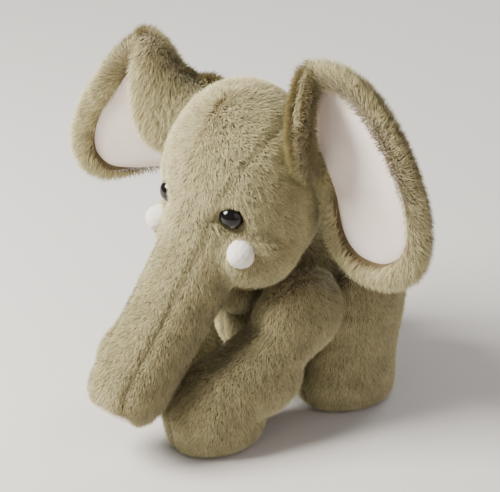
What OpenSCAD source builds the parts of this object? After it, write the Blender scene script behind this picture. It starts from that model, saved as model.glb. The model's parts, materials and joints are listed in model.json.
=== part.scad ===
// A standing plush elephant: sewn cover panels over separate wads of stuffing, in millimetres.
// +Z is up, the elephant faces -Y and its left side is +X. The soles rest on z = 0.
// Covers are drawn at the fabric itself, so the pile stands a few millimetres outside them.

/* [Fabric] */
// Thickness of the plush fabric
cover_t = 1.2; // [0.8:0.1:2]
// Running gap between two bodies that turn against each other
joint_gap = 0.3; // [0.2:0.05:0.5]

/* [Torso] */
// Half length of the torso, chest to rump
torso_half_l = 37; // [32:0.5:44]
// Half height of the torso
torso_half_h = 38.5; // [34:0.5:46]
// Height of the belly above the ground
belly_h = 18; // [14:0.5:26]
// Half width of the torso between the legs, at the torso's middle
torso_side = 27; // [23:0.5:32]
// Lean of the flat sides that the legs lie against
leg_splay = 19.7; // [14:0.1:24]
// Height of the belly panel above the lowest point of the torso
belly_panel_h = 11; // [8:0.5:16]

/* [Neck] */
// Lean of the line from torso to head, from upright towards the front
neck_lean = 30.4; // [24:0.2:38]
// Radius of the firm wad of stuffing in the neck
neck_r = 17; // [14:0.5:20]
// How deep the head and the torso sink into the neck
neck_sink = 3; // [2:0.5:5]
// Angle cut back on each side of the neck seam
neck_relief = 10; // [10:1:14]
// How far the head is turned to the elephant's left
head_turn = 10; // [0:1:16]

/* [Head] */
// Half width and half depth of the head
head_r = 37.5; // [31:0.5:45]
// Half height of the head
head_half_h = 49.5; // [41:0.5:60]
// Half angle of the forehead panel, seen from above
forehead_half = 28; // [22:1:32]
// Half length of the straight part of the lower jaw
jaw_half_w = 6; // [4:0.5:9]
// Radius of the lower jaw
jaw_r = 9; // [7:0.5:10]
// How far the lower jaw hangs below the head
jaw_drop = 5.5; // [5:0.5:7]

/* [Eyes and tusks] */
// Diameter of an eye
eye_d = 12; // [9:0.5:14]
// Height of an eye's dome
eye_h = 4.5; // [3:0.5:6]
// Diameter of an eye's shank
shank_d = 3; // [2:0.5:4]
// Diameter of the washer that locks the shank
washer_d = 11; // [9:0.5:13]
// Thickness of that washer
washer_t = 1.5; // [1:0.1:2]
// Angle from straight ahead to an eye
eye_angle = 35.4; // [33:0.2:40]
// Height of the eyes below the middle of the head
eye_drop = 2.6; // [0:0.2:6]
// Base radius of a tusk
tusk_r = 6; // [4:0.5:7]
// Length of a tusk
tusk_l = 13; // [9:0.5:17]
// Angle from straight ahead to the root of a tusk
tusk_angle = 43; // [41:1:50]
// Height of the tusks below the middle of the head
tusk_drop = 17; // [15:0.5:21]

/* [Trunk] */
// Radius of the trunk where it leaves the head
trunk_root_r = 19; // [16:0.5:20]
// Radius of the trunk at its middle bend
trunk_mid_r = 18; // [15:0.5:19]
// Radius of the trunk at its tip
trunk_tip_r = 17; // [14:0.5:18]
// Length from the root bend to the middle bend
trunk_upper_l = 48; // [40:1:54]
// Length from the middle bend to the tip
trunk_lower_l = 47; // [40:1:52]
// Slope of the trunk below level
trunk_pitch = 48; // [45:0.5:56]
// Rounding of the trunk's tip
trunk_tip_round = 9; // [5:0.5:12]
// How deep the trunk's root sits inside the head's surface
trunk_sink = 5; // [3:0.5:8]

/* [Ears] */
// Width of an ear from its seam
ear_w = 73; // [60:1:84]
// Height of an ear
ear_h = 114; // [95:1:130]
// Thickness of the plush back of an ear
ear_back_t = 3.2; // [2:0.2:4]
// Thickness of the smooth lining of an ear
ear_lining_t = 1.6; // [1:0.1:2.4]
// Width of the plush edge that shows around the lining
ear_rim = 7; // [5:0.5:10]
// Length of the seam that holds an ear
ear_seam_l = 41; // [30:1:48]
// Angle that the left ear is swept back
ear_sweep_left = -3; // [-10:1:20]
// Angle that the right ear is swept back
ear_sweep_right = -21; // [-30:1:20]

/* [Legs] */
// Distance of the outside of the legs from the middle
leg_out = 50; // [46:0.5:55]
// Radius of the shoulder of a front leg
shoulder_r = 19.5; // [16:0.5:20]
// Radius of the haunch of a hind leg
haunch_r = 21.5; // [18:0.5:22]
// Distance from the torso's middle forward to the shoulders
shoulder_forward = 33; // [31:0.5:36]
// Distance from the torso's middle back to the hips
hip_back = 13; // [11:0.5:16]
// Height of the shoulders and hips above the torso's middle
hip_up = 4; // [0:0.5:6]
// Distance of the middle of a foot from the middle of the elephant
foot_x = 30; // [28:0.5:34]
// Distance from the torso's middle forward to the front feet
front_foot_forward = 75; // [66:1:80]
// Distance from the torso's middle back to the hind feet
hind_foot_back = 3; // [0:0.5:6]
// Half width of a foot
foot_half_w = 19.5; // [16:0.5:20]
// Half length of a front foot
front_foot_half_l = 24; // [20:0.5:26]
// Half length of a hind foot
hind_foot_half_l = 20.5; // [17:0.5:22]
// Extra half length of a front leg halfway up
front_leg_bulge = 10; // [4:0.5:11]
// Extra half length of a hind leg halfway up
hind_leg_bulge = 2; // [0:0.5:3]
// Thickness of a sole
sole_t = 1.2; // [0.8:0.1:2]

/* [Tail] */
// Length of the tail
tail_l = 34; // [24:1:42]
// Radius of the tail at its root
tail_r = 5; // [4:0.5:6.5]
// Angle of the tail out from straight down
tail_out = 22; // [16:1:40]

/* [Hidden] */

plush = "darkkhaki";
velour = "mistyrose";
filling = "ivory";
felt = "white";
left = 1;
right = -1;
far = 300;                    // longer than anything here, for cutting blocks
arc_steps = 24;               // straight pieces in half of an oval outline
$fn = 64;

// Torso, neck and head, placed along one leaning line
torso_z = belly_h + torso_half_h;
lean_dir = [0, -sin(neck_lean), cos(neck_lean)];
torso_reach = oval_radius(torso_half_l, torso_half_h, lean_dir);
head_reach = oval_radius(head_r, head_half_h, lean_dir);
torso_mid = [0, 0, torso_z];
neck_pivot = torso_mid + (torso_reach - neck_sink) * lean_dir;
head_mid = neck_pivot + (head_reach - neck_sink) * lean_dir;

// Trunk bends, in the head's own unturned frame
root_dir = [0, -cos(45), -sin(45)];
trunk_dir = [0, -cos(trunk_pitch), -sin(trunk_pitch)];
trunk_root = head_mid + (oval_radius(head_r, head_half_h, root_dir) - trunk_sink) * root_dir;
trunk_bend = trunk_root + trunk_upper_l * trunk_dir;
trunk_end = trunk_bend + trunk_lower_l * trunk_dir;
lip_angle = 26;               // how far the trunk's covers stop short of a bend
root_relief = 24;             // how far the face stops short of the trunk's root, as an angle
root_flare = 6;               // how fast that room widens down the trunk

// Ear seams, in the head's own unturned frame
ear_bar_r = 2.4;              // rolled seam along the root of an ear
ear_angle = 18;               // angle of the seam's middle behind straight sideways
ear_seam_up = 20;             // height of the seam's middle above the middle of the head
ear_drift = 0.12;             // degrees that the seam runs back for each millimetre down
ear_mid = head_side(ear_seam_up, ear_angle);
ear_rise = head_side(ear_seam_up + 1, ear_angle - ear_drift)
         - head_side(ear_seam_up - 1, ear_angle + ear_drift);

// The ear from its seam outward: x across as a share of its width, y along the seam as a share of its height.
ear_shape = [[0, 0.16], [0.1, 0.28], [0.3, 0.368], [0.58, 0.345], [0.8, 0.21], [0.95, 0.02],
             [1, -0.22], [0.9, -0.48], [0.6, -0.62], [0.27, -0.58], [0.11, -0.38], [0, -0.17]];
// Ear directions: along the seam, outward across the ear, and out of its front face.
ear_up = ear_rise / norm(ear_rise);
ear_flat = [1, 0, 0] - ear_up[0] * ear_up;
ear_out0 = ear_flat / norm(ear_flat);
ear_back0 = cross(ear_up, ear_out0);

// Shoulders, hips and feet
shoulder = [-shoulder_forward, torso_z + hip_up];
hip = [hip_back, torso_z + hip_up];
foot_high = 0.3;              // share of the hip height that is foot
side_gap = joint_gap / 2;

// Tail root, on the rump
tail_up = 5;                  // height of the tail's root above the torso's middle
tail_out_y = torso_half_l * sqrt(1 - pow(tail_up / torso_half_h, 2)) + tail_r + joint_gap;
tail_root = [0, tail_out_y, torso_z + tail_up];

// The origin is under the middle of the whole elephant's box
ear_x = [for (side = [left, right], p = ear_outline(0), deep = [0, ear_back_t])
    in_head(ear_place(side, p, deep))[0]];
tip_ring = trunk_end - trunk_tip_round * trunk_dir;
tip_y = [for (a = [0:5:355])
    in_head(tip_ring + (trunk_tip_r - trunk_tip_round) * tip_rim(a))[1] - trunk_tip_round];
tail_y = tail_root[1] + (tail_l - tail_r) * sin(tail_out) + tail_r * 0.6;
middle = [(max(ear_x) + min(ear_x)) / 2, (min(tip_y) + tail_y) / 2, 0];

// --- functions ---

// Distance from the middle of an upright oval (radius r, half height h) to its surface.
function oval_radius(r, h, dir) =
    1 / sqrt((dir[0] * dir[0] + dir[1] * dir[1]) / (r * r) + dir[2] * dir[2] / (h * h));

// Half of an upright oval, from its bottom to its top, for turning about Z.
function half_oval(r, h) =
    [for (i = [0:arc_steps]) let (a = -90 + 180 * i / arc_steps) [r * cos(a), h * sin(a)]];

// A point turned with the head, and a direction turned with it.
function turned(v) = [v[0] * cos(head_turn) - v[1] * sin(head_turn),
                      v[0] * sin(head_turn) + v[1] * cos(head_turn), v[2]];
function in_head(p) = neck_pivot + turned(p - neck_pivot);

// Where a rolled seam lies against the left side of the head, at a height above the head's middle.
function head_side(up, angle) =
    let (r = head_r * sqrt(1 - pow(up / head_half_h, 2)),
         slope = atan2(up * head_r * head_r, r * head_half_h * head_half_h),
         off = ear_bar_r + joint_gap)
    head_mid + [(r + off * cos(slope)) * cos(angle), (r + off * cos(slope)) * sin(angle),
                up + off * sin(slope)];

// Directions across the trunk's tip.
function tip_rim(a) = [cos(a), -sin(a) * sin(trunk_pitch), sin(a) * cos(trunk_pitch)];

// A smooth closed line through hand-chosen points.
function smooth(p, steps) =
    let (n = len(p))
    [for (i = [0:n - 1], k = [0:steps - 1])
        let (a = p[(i + n - 1) % n], b = p[i], c = p[(i + 1) % n], d = p[(i + 2) % n], u = k / steps)
        b + 0.5 * u * ((c - a) + u * ((2 * a - 5 * b + 4 * c - d) + u * (3 * (b - c) + d - a)))];

function ear_outline(inset) =
    let (mid = [0.5, -0.12])
    [for (p = smooth(ear_shape, 4))
        let (v = [(p[0] - mid[0]) * ear_w, (p[1] - mid[1]) * ear_h])
        [mid[0] * ear_w, mid[1] * ear_h] + v * (1 - inset / norm(v))];

function ear_sweep(side) = side == left ? ear_sweep_left : ear_sweep_right;
function ear_out(side) = cos(ear_sweep(side)) * ear_out0 + sin(ear_sweep(side)) * ear_back0;
function ear_back(side) = cos(ear_sweep(side)) * ear_back0 - sin(ear_sweep(side)) * ear_out0;
function flip(side, v) = [side * v[0], v[1], v[2]];
function ear_place(side, p, deep) =
    flip(side, ear_mid + p[0] * ear_out(side) + p[1] * ear_up + deep * ear_back(side));

// The flat side that a left leg lies against, at a height.
function side_x(z) = torso_side + (z - torso_z) * tan(leg_splay);

// How far a limb has gone from foot to hip at a share f of the hip height.
function rise(f) = let (u = max(0, (f - foot_high) / (1 - foot_high))) u * u * (3 - 2 * u);
function blend(a, b, u) = a + (b - a) * u;

// Cross sections of a left leg, from the sole up: [height, middle x, middle y, half width, half length].
function leg_sections(foot_y, foot_l, hip_yz, top_r, bulge, inset) = concat(
    [for (f = [0, 0.1, 0.28, 0.46, 0.64, 0.82])
        let (z = sole_t + f * (hip_yz[1] - sole_t), u = rise(f),
             tuck = 1 - 0.16 * pow(1 - min(1, f / 0.16), 2),
             outer = blend(foot_x + foot_half_w * tuck, leg_out, u),
             inner = blend(foot_x - foot_half_w * tuck, side_x(z) - 2, u),
             half_l = blend(foot_l * tuck, top_r, u) + bulge * sin(180 * u))
        [z, (outer + inner) / 2, blend(foot_y, hip_yz[0], u), (outer - inner) / 2 - inset, half_l - inset]],
    [for (b = [0, 28, 52, 70, 84])
        let (z = hip_yz[1] + (top_r - inset) * sin(b), outer = blend(side_x(z) + 8, leg_out, cos(b)),
             inner = blend(side_x(z) + 3, side_x(z) - 2, cos(b)))
        [z, (outer + inner) / 2, hip_yz[0], (outer - inner) / 2 - inset, (top_r - inset) * cos(b) + 0.5]]);

// One ring of points round a section, held off the torso's flat side.
function leg_ring(s, inset, from, to, steps) =
    [for (i = [0:steps])
        let (a = from + (to - from) * i / steps)
        [max(s[1] + s[3] * cos(a), side_x(s[0]) + side_gap + inset), s[2] + s[4] * sin(a), s[0]]];

// --- building blocks ---

// A closed solid through rings of points that all have the same count.
// A walled ring goes along its outside and back along its inside, so its ends close as strips.
// The sides of a filling are split along the other diagonal, which is how the wall round it splits its own.
module stack(rings, walled) {
    n = len(rings[0]);
    top = (len(rings) - 1) * n;
    sides = [for (k = [0:n:top - n], i = [0:n - 1])
        let (a = k + i, b = k + (i + 1) % n)
        each walled ? [[a, a + n, b + n], [a, b + n, b]] : [[a, a + n, b], [b, a + n, b + n]]];
    ends = walled
        ? [for (i = [0:n / 2 - 2])
            let (j = n - 1 - i)
            each [[i, i + 1, j], [i + 1, j - 1, j],
                  [top + j, top + i + 1, top + i], [top + j, top + j - 1, top + i + 1]]]
        : [[for (i = [0:n - 1]) i], [for (i = [n - 1:-1:0]) top + i]];
    polyhedron(points = [for (r = rings) each r], faces = concat(sides, ends), convexity = 6);
}

module origin_at_middle() {
    translate(-middle) children();
}

module head_frame() {
    origin_at_middle() translate(neck_pivot) rotate([0, 0, head_turn]) translate(-neck_pivot) children();
}

module mirrored(side) {
    if (side == left) children();
    else mirror([1, 0, 0]) children();
}

// Z of the children is turned to point along the leaning line of the neck.
module along_neck(up) {
    translate(neck_pivot) rotate([neck_lean + (up ? 0 : 180), 0, 0]) children();
}

// --- torso ---

module torso_form(inset) {
    low = torso_z - torso_half_h;
    high = torso_z + torso_half_h;
    wall = side_gap + inset / cos(leg_splay);
    reach = [side_x(low) - wall, side_x(high) - wall];
    intersection() {
        translate(torso_mid) rotate_extrude() polygon(half_oval(torso_half_l - inset, torso_half_h - inset));
        rotate([90, 0, 0]) translate([0, 0, -far / 2]) linear_extrude(far)
            polygon([[-reach[0], low], [reach[0], low], [reach[1], high], [-reach[1], high]]);
    }
}

// The wedge above the neck seam, where the head swings.
module neck_wedge(up, reach) {
    along_neck(up) rotate_extrude()
        polygon([[0, 0], [reach, -reach * tan(neck_relief)], [reach, reach], [0, reach]]);
}

module torso_cut() {
    translate(neck_pivot) sphere(r = neck_r + joint_gap);
    neck_wedge(true, 60);
}

module torso_shell() {
    difference() {
        torso_form(0);
        torso_form(cover_t);
        torso_cut();
    }
}

module torso_side_panel(side) {
    color(plush) origin_at_middle() intersection() {
        torso_shell();
        translate([side > 0 ? 0 : -far, -far / 2, belly_h + belly_panel_h]) cube(far);
    }
}

module torso_belly_panel() {
    color(plush) origin_at_middle() intersection() {
        torso_shell();
        translate([-far / 2, -far / 2, belly_h + belly_panel_h - far]) cube(far);
    }
}

module torso_stuffing() {
    color(filling) origin_at_middle() difference() {
        torso_form(cover_t);
        torso_cut();
    }
}

module neck_stuffing() {
    color(filling) origin_at_middle() translate(neck_pivot) sphere(r = neck_r);
}

// --- head ---

// Room in the face for the trunk's round root and its swing.
module trunk_room() {
    r = trunk_root_r + joint_gap;
    translate(trunk_root) rotate([trunk_pitch - 90, 0, 0]) {
        sphere(r = r);
        rotate_extrude()
            polygon([[0, 0], [r * cos(root_relief), r * sin(root_relief)], [r + 1, r * sin(root_relief)],
                     [r + 70 * tan(root_flare), -70], [0, -70]]);
    }
}

module head_cut() {
    translate(neck_pivot) sphere(r = neck_r + joint_gap);
    neck_wedge(false, 70);
    trunk_room();
}

module at_eye(side) {
    r = head_r * sqrt(1 - pow(eye_drop / head_half_h, 2));
    mirrored(side) translate(head_mid - [0, 0, eye_drop]) rotate([0, 0, -90 + eye_angle]) translate([r, 0, 0])
        rotate([0, 90, 0]) children();
}

module shank_hole(side) {
    at_eye(side) translate([0, 0, -2 * eye_h]) cylinder(h = 2 * eye_h + 4, r = shank_d / 2, $fn = 32);
}

// A slice of the head's cover between two angles about its upright axis.
module head_slice(from, to) {
    outer = half_oval(head_r, head_half_h);
    inner = half_oval(head_r - cover_t, head_half_h - cover_t);
    ring = concat(outer, [for (i = [len(inner) - 1:-1:0]) inner[i]]);
    difference() {
        translate(head_mid) rotate([0, 0, from]) rotate_extrude(angle = to - from) polygon(ring);
        head_cut();
        shank_hole(right);
    }
}

module head_forehead_panel() {
    color(plush) head_frame() head_slice(-90 - forehead_half, -90 + forehead_half);
}

// The side panels are mirror images, so both are cut as the right one.
module head_side_panel(side) {
    color(plush) head_frame() mirrored(-side) head_slice(90, 270 - forehead_half);
}

washer_depth = cover_t + washer_d * washer_d / 8 / (head_r - cover_t) + 0.2;
shank_l = washer_depth + washer_t + 2;

module eye(side) {
    color("black") head_frame() at_eye(side) {
        rotate_extrude() intersection() {
            translate([0, eye_h - eye_d / 2 - 0.2]) circle(d = eye_d + 0.6);
            square([eye_d / 2, eye_h + 1]);
        }
        translate([0, 0, -shank_l]) cylinder(h = shank_l, r = shank_d / 2, $fn = 32);
    }
}

module eye_washer(side) {
    color("gainsboro") head_frame() at_eye(side) translate([0, 0, -washer_depth - washer_t])
        difference() {
            cylinder(h = washer_t, r = washer_d / 2);
            translate([0, 0, -1]) cylinder(h = washer_t + 2, r = shank_d / 2, $fn = 32);
        }
}

module head_stuffing() {
    color(filling) head_frame() difference() {
        translate(head_mid) rotate_extrude() polygon(half_oval(head_r - cover_t, head_half_h - cover_t));
        head_cut();
        for (side = [left, right])
            at_eye(side) translate([0, 0, -shank_l]) cylinder(h = shank_l + 4, r = washer_d / 2);
    }
}

// The lower jaw is a small filled pouch under the head, behind the trunk.
module lower_jaw() {
    jaw_mid = head_mid + [0, -jaw_r * 1.1, -head_half_h - jaw_drop];
    color(plush) head_frame() difference() {
        translate(jaw_mid) {
            rotate([0, 90, 0]) cylinder(h = 2 * jaw_half_w, r = jaw_r, center = true);
            for (side = [left, right]) translate([side * jaw_half_w, 0, 0]) sphere(r = jaw_r);
        }
        translate(head_mid) rotate_extrude() polygon(half_oval(head_r, head_half_h));
        trunk_room();
        translate(neck_pivot) sphere(r = neck_r + joint_gap);
    }
}

module tusk(side) {
    r = head_r * sqrt(1 - pow(tusk_drop / head_half_h, 2));
    tip_r = tusk_r * 0.6;
    color(felt) head_frame() difference() {
        mirrored(side) translate(head_mid - [0, 0, tusk_drop]) rotate([0, 0, -90 + tusk_angle])
            translate([r - 1, 0, 0]) rotate([0, 112, 0]) rotate_extrude()
            polygon(concat([[0, -2], [tusk_r, -2], [tusk_r, 1]],
                           [for (a = [0:15:90]) [tip_r * cos(a), tusk_l - tip_r + tip_r * sin(a)]]));
        translate(head_mid) rotate_extrude() polygon(half_oval(head_r, head_half_h));
        trunk_room();
    }
}

// --- trunk ---

// Z of the children points back up the trunk.
module at_trunk(point) {
    head_frame() translate(point) rotate([trunk_pitch - 90, 0, 0]) children();
}

module trunk_upper_cover() {
    stop = -trunk_upper_l + trunk_mid_r * sin(lip_angle);
    seat = trunk_mid_r + joint_gap;
    color(plush) at_trunk(trunk_root) difference() {
        rotate_extrude() polygon([[trunk_root_r - cover_t, 0], [trunk_root_r, 0],
                                  [trunk_mid_r + 0.4, stop], [trunk_mid_r + 0.4 - cover_t, stop]]);
        translate([0, 0, -trunk_upper_l]) sphere(r = seat);
    }
}

module trunk_upper_stuffing() {
    stop = -trunk_upper_l + trunk_mid_r * sin(lip_angle);
    core = trunk_root_r - cover_t;
    color(filling) at_trunk(trunk_root) difference() {
        rotate_extrude() polygon(concat([for (a = [90:-7.5:0]) [core * cos(a), trunk_root_r * sin(a)]],
                                        [[trunk_mid_r + 0.4 - cover_t, stop], [0, stop]]));
        translate([0, 0, -trunk_upper_l]) sphere(r = trunk_mid_r + joint_gap);
    }
}

// The lower trunk's outline from its bend to its rounded end.
function lower_trunk(r0, r1, round_r, end) = concat(
    [[r0, 0]], [for (a = [0:15:90]) [r1 - round_r + round_r * cos(a), -end + round_r - round_r * sin(a)]]);
patch_r = trunk_tip_r - trunk_tip_round + 2;

module trunk_lower_cover() {
    end = trunk_lower_l;
    outer = lower_trunk(trunk_mid_r - 0.2, trunk_tip_r, trunk_tip_round, end);
    inner = lower_trunk(trunk_mid_r - 0.2 - cover_t, trunk_tip_r - cover_t,
                        trunk_tip_round - cover_t, end - cover_t);
    color(plush) at_trunk(trunk_bend) difference() {
        rotate_extrude() polygon(concat(outer, [for (i = [len(inner) - 1:-1:0]) inner[i]]));
        translate([0, 0, -end - 1]) cylinder(h = 6, r = patch_r);
    }
}

module trunk_lower_stuffing() {
    r = trunk_mid_r - 0.2;
    end = trunk_lower_l - cover_t;
    inner = lower_trunk(r - cover_t, trunk_tip_r - cover_t, trunk_tip_round - cover_t, end);
    color(filling) at_trunk(trunk_bend)
        rotate_extrude()
            polygon(concat([for (a = [90:-7.5:0]) [(r - cover_t) * cos(a), trunk_mid_r * sin(a)]],
                           inner, [[0, -end]]));
}

module trunk_tip_patch() {
    color(velour) at_trunk(trunk_bend) translate([0, 0, -trunk_lower_l]) cylinder(h = cover_t, r = patch_r);
}

// --- ears ---

// X of the children runs out across the ear, Y up along its seam and Z out of its front face.
module at_ear(side) {
    o = ear_out(side);
    b = ear_back(side);
    m = ear_mid;
    head_frame() mirrored(side)
        multmatrix([[o[0], ear_up[0], -b[0], m[0]], [o[1], ear_up[1], -b[1], m[1]],
                    [o[2], ear_up[2], -b[2], m[2]], [0, 0, 0, 1]])
        children();
}

module ear_back_layer(side) {
    color(plush) at_ear(side) {
        translate([0, 0, -ear_back_t]) linear_extrude(ear_back_t) polygon(ear_outline(0));
        rotate([90, 0, 0]) translate([0, 0, -ear_seam_l / 2])
            cylinder(h = ear_seam_l, r = ear_bar_r, $fn = 32);
    }
}

module ear_lining(side) {
    color(velour) at_ear(side) linear_extrude(ear_lining_t) polygon(ear_outline(ear_rim));
}

// --- legs ---

ring_steps = 10;
function front_sections(inset) =
    leg_sections(-front_foot_forward, front_foot_half_l, shoulder, shoulder_r, front_leg_bulge, inset);
function hind_sections(inset) =
    leg_sections(hind_foot_back, hind_foot_half_l, hip, haunch_r, hind_leg_bulge, inset);

module leg_panel(side, outer, inner, from, to) {
    color(plush) origin_at_middle() mirrored(side)
        stack([for (k = [0:len(outer) - 1])
            concat(leg_ring(outer[k], 0, from, to, ring_steps),
                   leg_ring(inner[k], cover_t, to, from, ring_steps))], true);
}

module front_leg_panel(side, from) {
    leg_panel(side, front_sections(0), front_sections(cover_t), from, from + 180);
}

module hind_leg_panel(side, from) {
    leg_panel(side, hind_sections(0), hind_sections(cover_t), from, from + 180);
}

module leg_stuffing(side, inner) {
    color(filling) origin_at_middle() mirrored(side)
        stack([for (s = inner) let (r = leg_ring(s, cover_t, 0, 360, 2 * ring_steps))
            [for (i = [0:2 * ring_steps - 1]) r[i]]], false);
}

module leg_sole(side, section) {
    color(velour) origin_at_middle() mirrored(side) linear_extrude(sole_t)
        polygon([for (p = leg_ring(section, 0, 0, 345, 23)) [p[0], p[1]]]);
}

// --- tail ---

module tail() {
    color(plush) origin_at_middle() translate(tail_root) rotate([tail_out, 0, 0]) {
        sphere(r = tail_r);
        translate([0, 0, -tail_l + tail_r]) cylinder(h = tail_l - tail_r, r1 = tail_r * 0.6, r2 = tail_r);
        translate([0, 0, -tail_l + tail_r]) sphere(r = tail_r * 0.6);
    }
}

torso_side_panel(left);  // torso_left_panel
torso_side_panel(right);  // torso_right_panel
torso_belly_panel();
torso_stuffing();
neck_stuffing();
head_forehead_panel();
head_side_panel(left);  // head_left_panel
head_side_panel(right);  // head_right_panel
head_stuffing();
lower_jaw();
eye(left);  // eye_left
eye(right);  // eye_right
eye_washer(left);  // eye_washer_left
eye_washer(right);  // eye_washer_right
tusk(left);  // tusk_left
tusk(right);  // tusk_right
trunk_upper_cover();
trunk_upper_stuffing();
trunk_lower_cover();
trunk_lower_stuffing();
trunk_tip_patch();
ear_back_layer(left);  // ear_left_back
ear_lining(left);  // ear_left_lining
ear_back_layer(right);  // ear_right_back
ear_lining(right);  // ear_right_lining
front_leg_panel(left, -90);  // front_leg_left_outer_panel
front_leg_panel(left, 90);  // front_leg_left_inner_panel
leg_stuffing(left, front_sections(cover_t));  // front_leg_left_stuffing
leg_sole(left, front_sections(0)[0]);  // front_leg_left_sole
front_leg_panel(right, -90);  // front_leg_right_outer_panel
front_leg_panel(right, 90);  // front_leg_right_inner_panel
leg_stuffing(right, front_sections(cover_t));  // front_leg_right_stuffing
leg_sole(right, front_sections(0)[0]);  // front_leg_right_sole
hind_leg_panel(left, -90);  // hind_leg_left_outer_panel
hind_leg_panel(left, 90);  // hind_leg_left_inner_panel
leg_stuffing(left, hind_sections(cover_t));  // hind_leg_left_stuffing
leg_sole(left, hind_sections(0)[0]);  // hind_leg_left_sole
hind_leg_panel(right, -90);  // hind_leg_right_outer_panel
hind_leg_panel(right, 90);  // hind_leg_right_inner_panel
leg_stuffing(right, hind_sections(cover_t));  // hind_leg_right_stuffing
leg_sole(right, hind_sections(0)[0]);  // hind_leg_right_sole
tail();
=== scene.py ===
# %% [markdown]
# # A plush elephant
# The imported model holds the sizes, the joints and a plain solid for every piece. This script dresses it:
# each stuffed part gets a sewn skin and a pile of short hairs, and each small part gets a real finish.
# Everything is in metres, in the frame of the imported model. Lengths below are written in millimetres.

# %% Load the model
import json
from math import cos, sin, pi, radians
import bpy
import numpy as np
from mathutils import Matrix, Vector


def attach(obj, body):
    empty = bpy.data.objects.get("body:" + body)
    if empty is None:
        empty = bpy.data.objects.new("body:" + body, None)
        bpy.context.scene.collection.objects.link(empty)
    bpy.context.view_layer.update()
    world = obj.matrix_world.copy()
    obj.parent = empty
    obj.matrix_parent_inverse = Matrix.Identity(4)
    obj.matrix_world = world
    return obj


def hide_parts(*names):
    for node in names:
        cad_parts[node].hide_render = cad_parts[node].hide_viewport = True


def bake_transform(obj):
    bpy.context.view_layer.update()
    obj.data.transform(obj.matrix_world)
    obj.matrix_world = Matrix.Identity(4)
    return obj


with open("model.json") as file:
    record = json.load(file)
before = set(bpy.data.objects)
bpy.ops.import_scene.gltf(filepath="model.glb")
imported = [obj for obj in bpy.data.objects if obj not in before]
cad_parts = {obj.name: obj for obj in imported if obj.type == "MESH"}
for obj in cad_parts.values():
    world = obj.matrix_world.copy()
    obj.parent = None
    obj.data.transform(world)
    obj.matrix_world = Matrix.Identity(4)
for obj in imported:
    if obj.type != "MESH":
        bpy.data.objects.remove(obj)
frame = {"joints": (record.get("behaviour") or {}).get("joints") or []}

for start_up in ("Cube", "Light", "Camera"):
    if start_up in bpy.data.objects:
        bpy.data.objects.remove(bpy.data.objects[start_up])
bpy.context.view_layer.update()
scene = bpy.context.scene
joints = {j["name"]: j for j in frame["joints"]}

# %% [markdown]
# ## The directions that everything is measured along
# A toy is sewn part by part, so each part has its own small frame: the head is turned a little on the
# neck, the trunk runs down and forward, and each ear lies along its seam. They are read from the joints.

# %% Frames of the parts
MM = 0.001
UP = np.array([0.0, 0.0, 1.0])


def place(joint):
    return np.array(joints[joint]["pos_m"]) / MM


def unit(v):
    v = np.asarray(v, float)
    return v / np.maximum(np.linalg.norm(v, axis=-1, keepdims=True), 1e-9)


neck = place("neck_turn")
head_x = unit(joints["head_nod"]["axis"])
head_y = np.cross(UP, head_x)
head_forward, head_above = 21.44, 36.55
head_mid = neck - head_forward * head_y + head_above * UP
trunk_root, trunk_bend = place("trunk_swing"), place("trunk_curl")
trunk_dir = unit(trunk_bend - trunk_root)
trunk_top = np.cross(trunk_dir, head_x)
trunk_half = float(np.linalg.norm(trunk_bend - trunk_root))
trunk_lower_l = 47
trunk_l = trunk_half + trunk_lower_l
cover_end = trunk_l - 0.4  # the trunk's cover stops just inside its tip patch
torso_behind, torso_below = 17.76, 30.27
torso_mid = neck + np.array([0, torso_behind, -torso_below])
middle_x = neck[0]


def in_head(x, y, z):
    """A point by its place about the middle of the head: to its left, back and up."""
    return head_mid + np.multiply.outer(x, head_x) + np.multiply.outer(y, head_y) + np.multiply.outer(z, UP)


def head_coords(p):
    d = np.asarray(p) - head_mid
    return d @ head_x, d @ head_y, d @ UP


print("head middle", head_mid.round(1), "trunk length", round(trunk_l, 1))

# %% [markdown]
# ## The camera
# It stands in front of the elephant's left side and looks down a little, with a long lens, because the
# camera's place decides which details are worth making. It is made first and everything is judged from it.

# %% Camera
view_turn, view_tilt, view_far = radians(55), radians(27), 1500
look_at = neck + np.array([7.3, -19.9, 1.2])
back_to_camera = np.array([sin(view_turn) * cos(view_tilt), -cos(view_turn) * cos(view_tilt), sin(view_tilt)])
across = np.array([cos(view_turn), sin(view_turn), 0])
lens = bpy.data.cameras.new("camera")
lens.lens, lens.sensor_width = 216, 36
lens.clip_start, lens.clip_end = 0.05, 20
camera = bpy.data.objects.new("camera", lens)
scene.collection.objects.link(camera)
camera_axes = np.stack([across, np.cross(back_to_camera, across), back_to_camera], 1)
pose = np.eye(4)
pose[:3, :3] = camera_axes
pose[:3, 3] = (look_at + view_far * back_to_camera) * MM
camera.matrix_world = Matrix(pose.tolist())
scene.camera = camera

# %% [markdown]
# ## The table and the light
# A soft toy shows its shape by gentle shading, so one large soft light comes from the upper left of the
# view. A weak one fills the other side, one behind the toy lifts its edges, and the floor is a pale sheet.

# %% Small helpers for nodes and colours


def linear(hex_colour, alpha=1.0):
    """An sRGB hex colour as the linear numbers that Blender works in."""
    part = [int(hex_colour[i : i + 2], 16) / 255 for i in (1, 3, 5)]
    return [c / 12.92 if c <= 0.04045 else ((c + 0.055) / 1.055) ** 2.4 for c in part] + [alpha]


def add_node(tree, kind, inputs=None, **settings):
    """Adds one node. An input is a number, a colour or the socket that feeds it, by its name or number."""
    n = tree.nodes.new(kind)
    for key, value in settings.items():
        setattr(n, key, value)
    for key, value in (inputs or {}).items():
        if isinstance(value, bpy.types.NodeSocket):
            tree.links.new(value, n.inputs[key])
        else:
            n.inputs[key].default_value = value
    return n


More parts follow.
